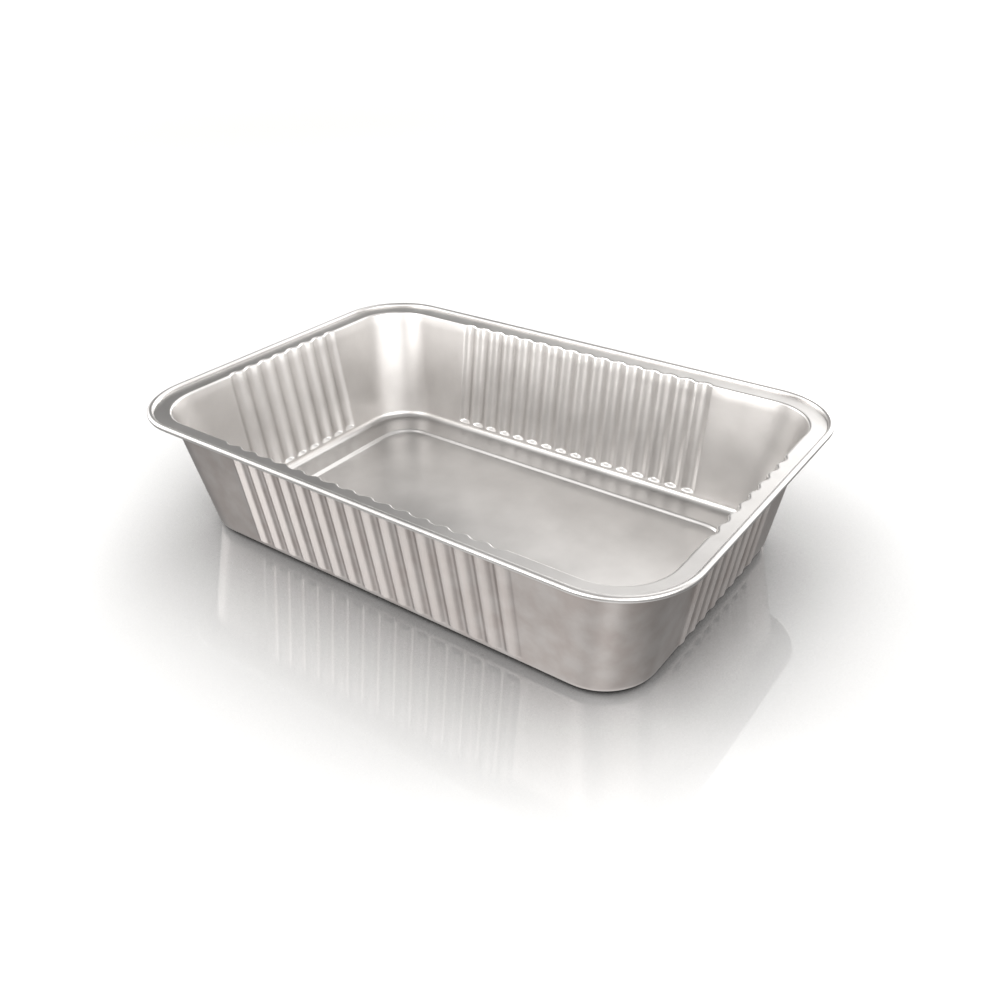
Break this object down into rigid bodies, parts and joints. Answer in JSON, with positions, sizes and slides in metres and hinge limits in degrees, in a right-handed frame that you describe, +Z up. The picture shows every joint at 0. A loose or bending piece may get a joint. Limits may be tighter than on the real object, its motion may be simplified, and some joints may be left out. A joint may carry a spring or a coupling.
{
  "type": "foil tray",
  "caption": "Rectangular food tray of pressed foil, with ribbed leaning walls, round corners, a flat flange, a rolled rim and a recessed floor panel",
  "frame": {"origin": "middle of the floor panel's underside, which the tray stands on", "axes": "+X along the long side, +Y along the short side, +Z up out of the mouth"},
  "size_m": [0.216, 0.147, 0.0495],
  "materials": {
    "foil": "satin, lightly burnished by the press, with faint mottling"
  },
  "bodies": {
    "root": {"tray": "foil"}
  },
  "joints": []
}
